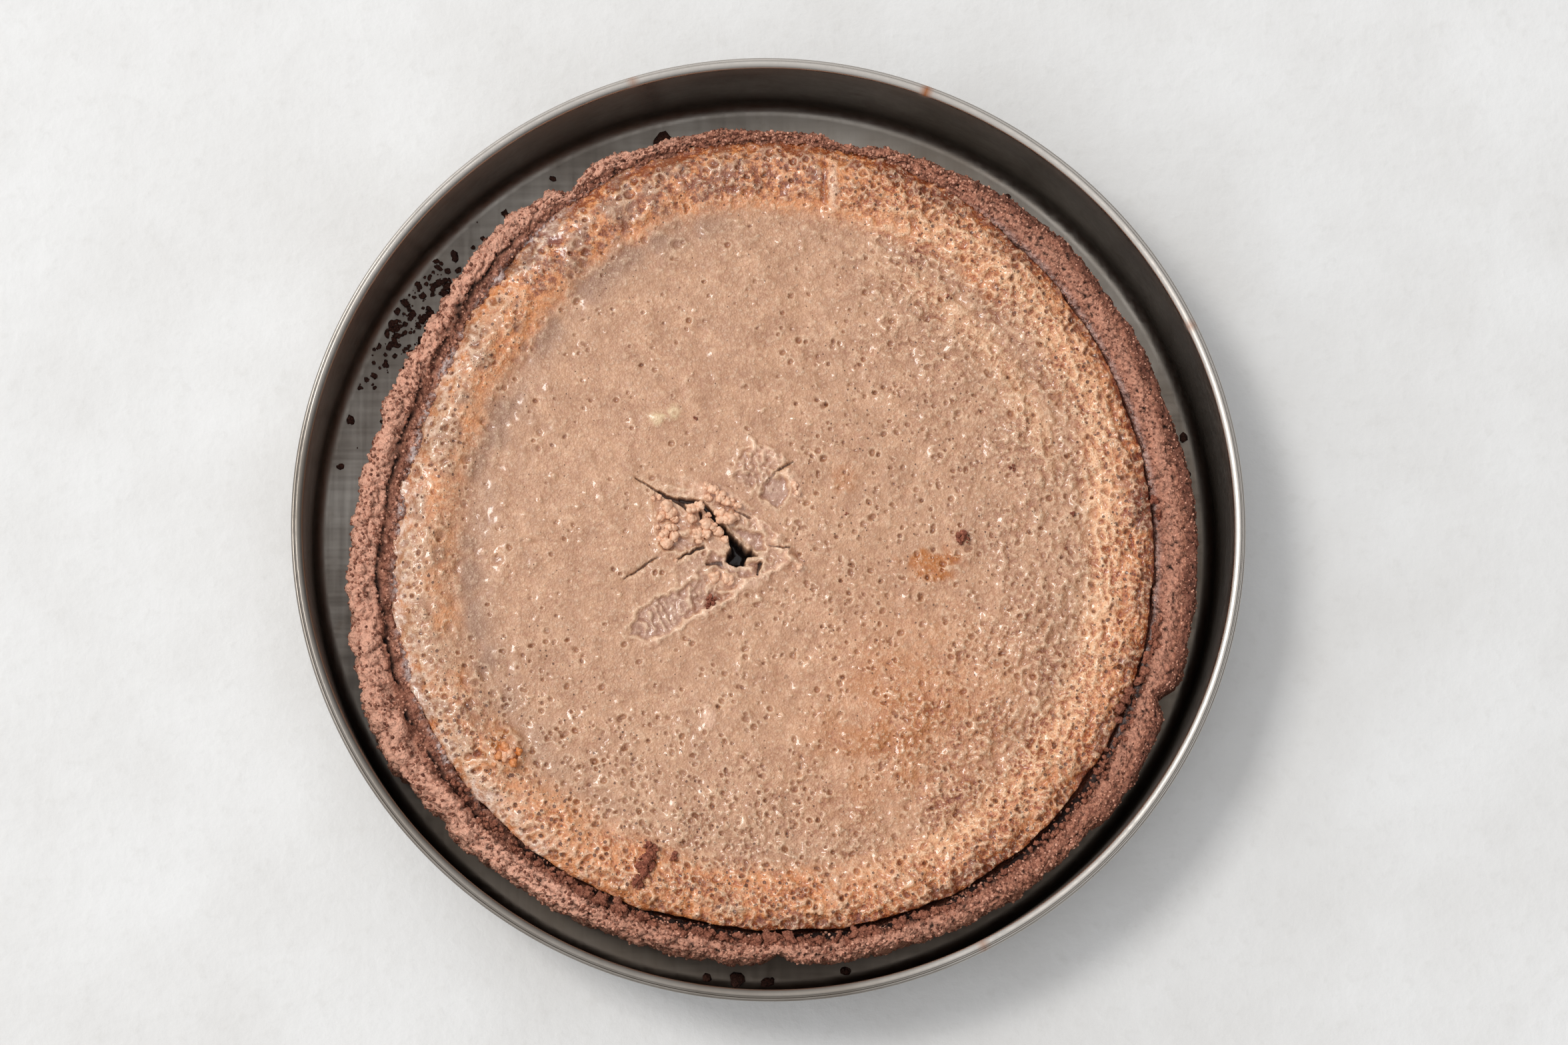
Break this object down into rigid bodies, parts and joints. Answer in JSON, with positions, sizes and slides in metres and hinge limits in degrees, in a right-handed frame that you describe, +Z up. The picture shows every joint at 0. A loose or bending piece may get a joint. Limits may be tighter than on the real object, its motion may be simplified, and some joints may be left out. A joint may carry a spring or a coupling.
{
  "type": "chocolate pie in a baking tin",
  "caption": "Baked chocolate filling in a crumb crust, puffed near its edge and torn open at the middle, standing in its own straight-sided round baking tin.",
  "frame": {"origin": "middle of the tin's underside, on the surface that the tin stands on", "axes": "+Z up out of the tin, +Y towards the back, +X to the right as seen from the front"},
  "size_m": [0.28, 0.28, 0.042],
  "materials": {
    "tin": "aged bare steel, worn satin",
    "crust": "dry coarse chocolate crumb",
    "filling": "satin baked chocolate custard, browned near the edge"
  },
  "bodies": {
    "root": {"tin": "tin", "crust": "crust", "filling": "filling"}
  },
  "joints": []
}
